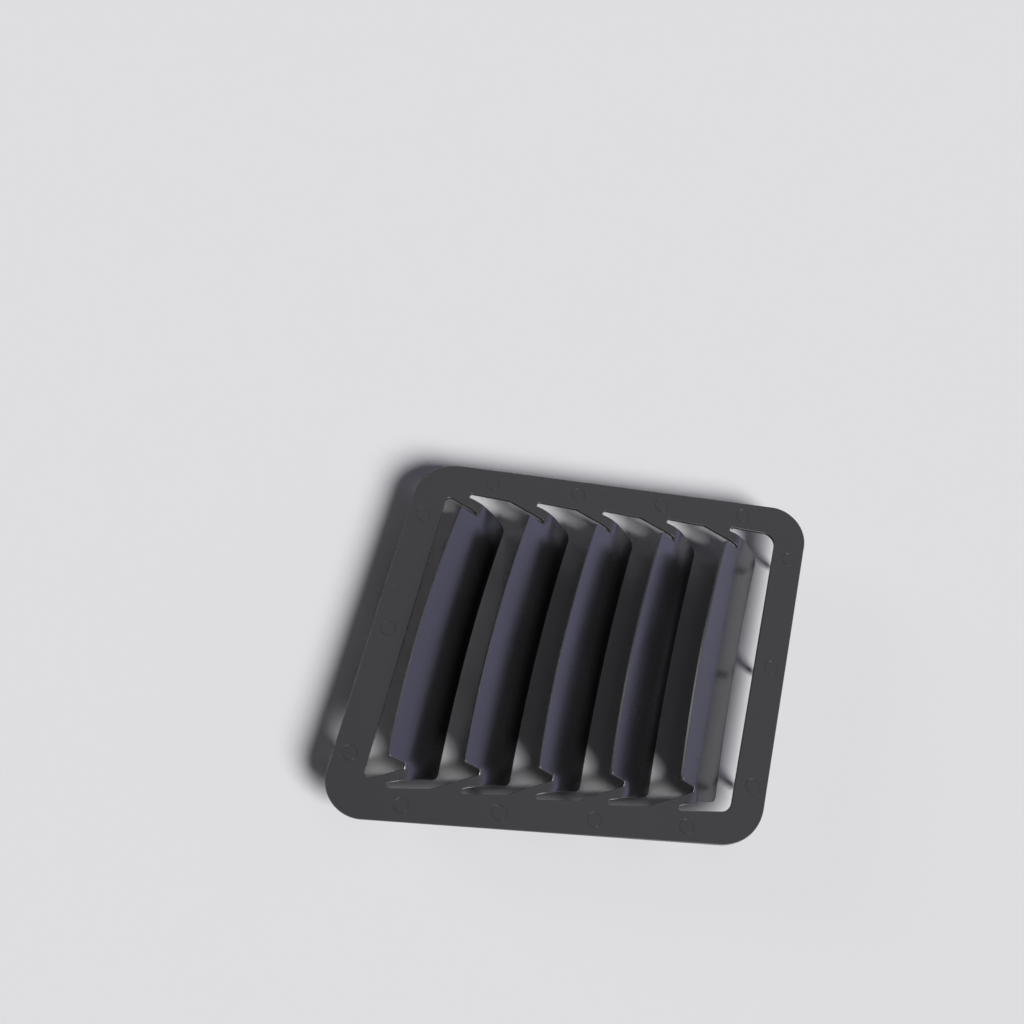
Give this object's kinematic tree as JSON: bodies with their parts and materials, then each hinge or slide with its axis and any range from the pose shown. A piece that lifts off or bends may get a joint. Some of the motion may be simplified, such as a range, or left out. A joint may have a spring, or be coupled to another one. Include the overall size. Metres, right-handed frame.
{
  "type": "hood louver panel",
  "caption": "Leaning sheet panel with rounded corners; curved blades pressed out of the sheet stand over slanted air gaps, and flush-head studs reach down from its flange.",
  "frame": {"origin": "centre of the flange's underside, the plane that lies on the bonnet, midway between the sides and the ends", "axes": "+X across the blades from the lips towards the sunk trailing edges, +Y along the blades and the side edges, +Z out of the bonnet"},
  "size_m": [0.245, 0.2626, 0.0296],
  "materials": {
    "panel_coat": "smooth black coat with a soft sheen over pressed sheet",
    "stud_coat": "the same black coat over the stud heads, threads below"
  },
  "bodies": {
    "root": {"louver_panel": "panel_coat", "flush_studs": "stud_coat"}
  },
  "joints": []
}
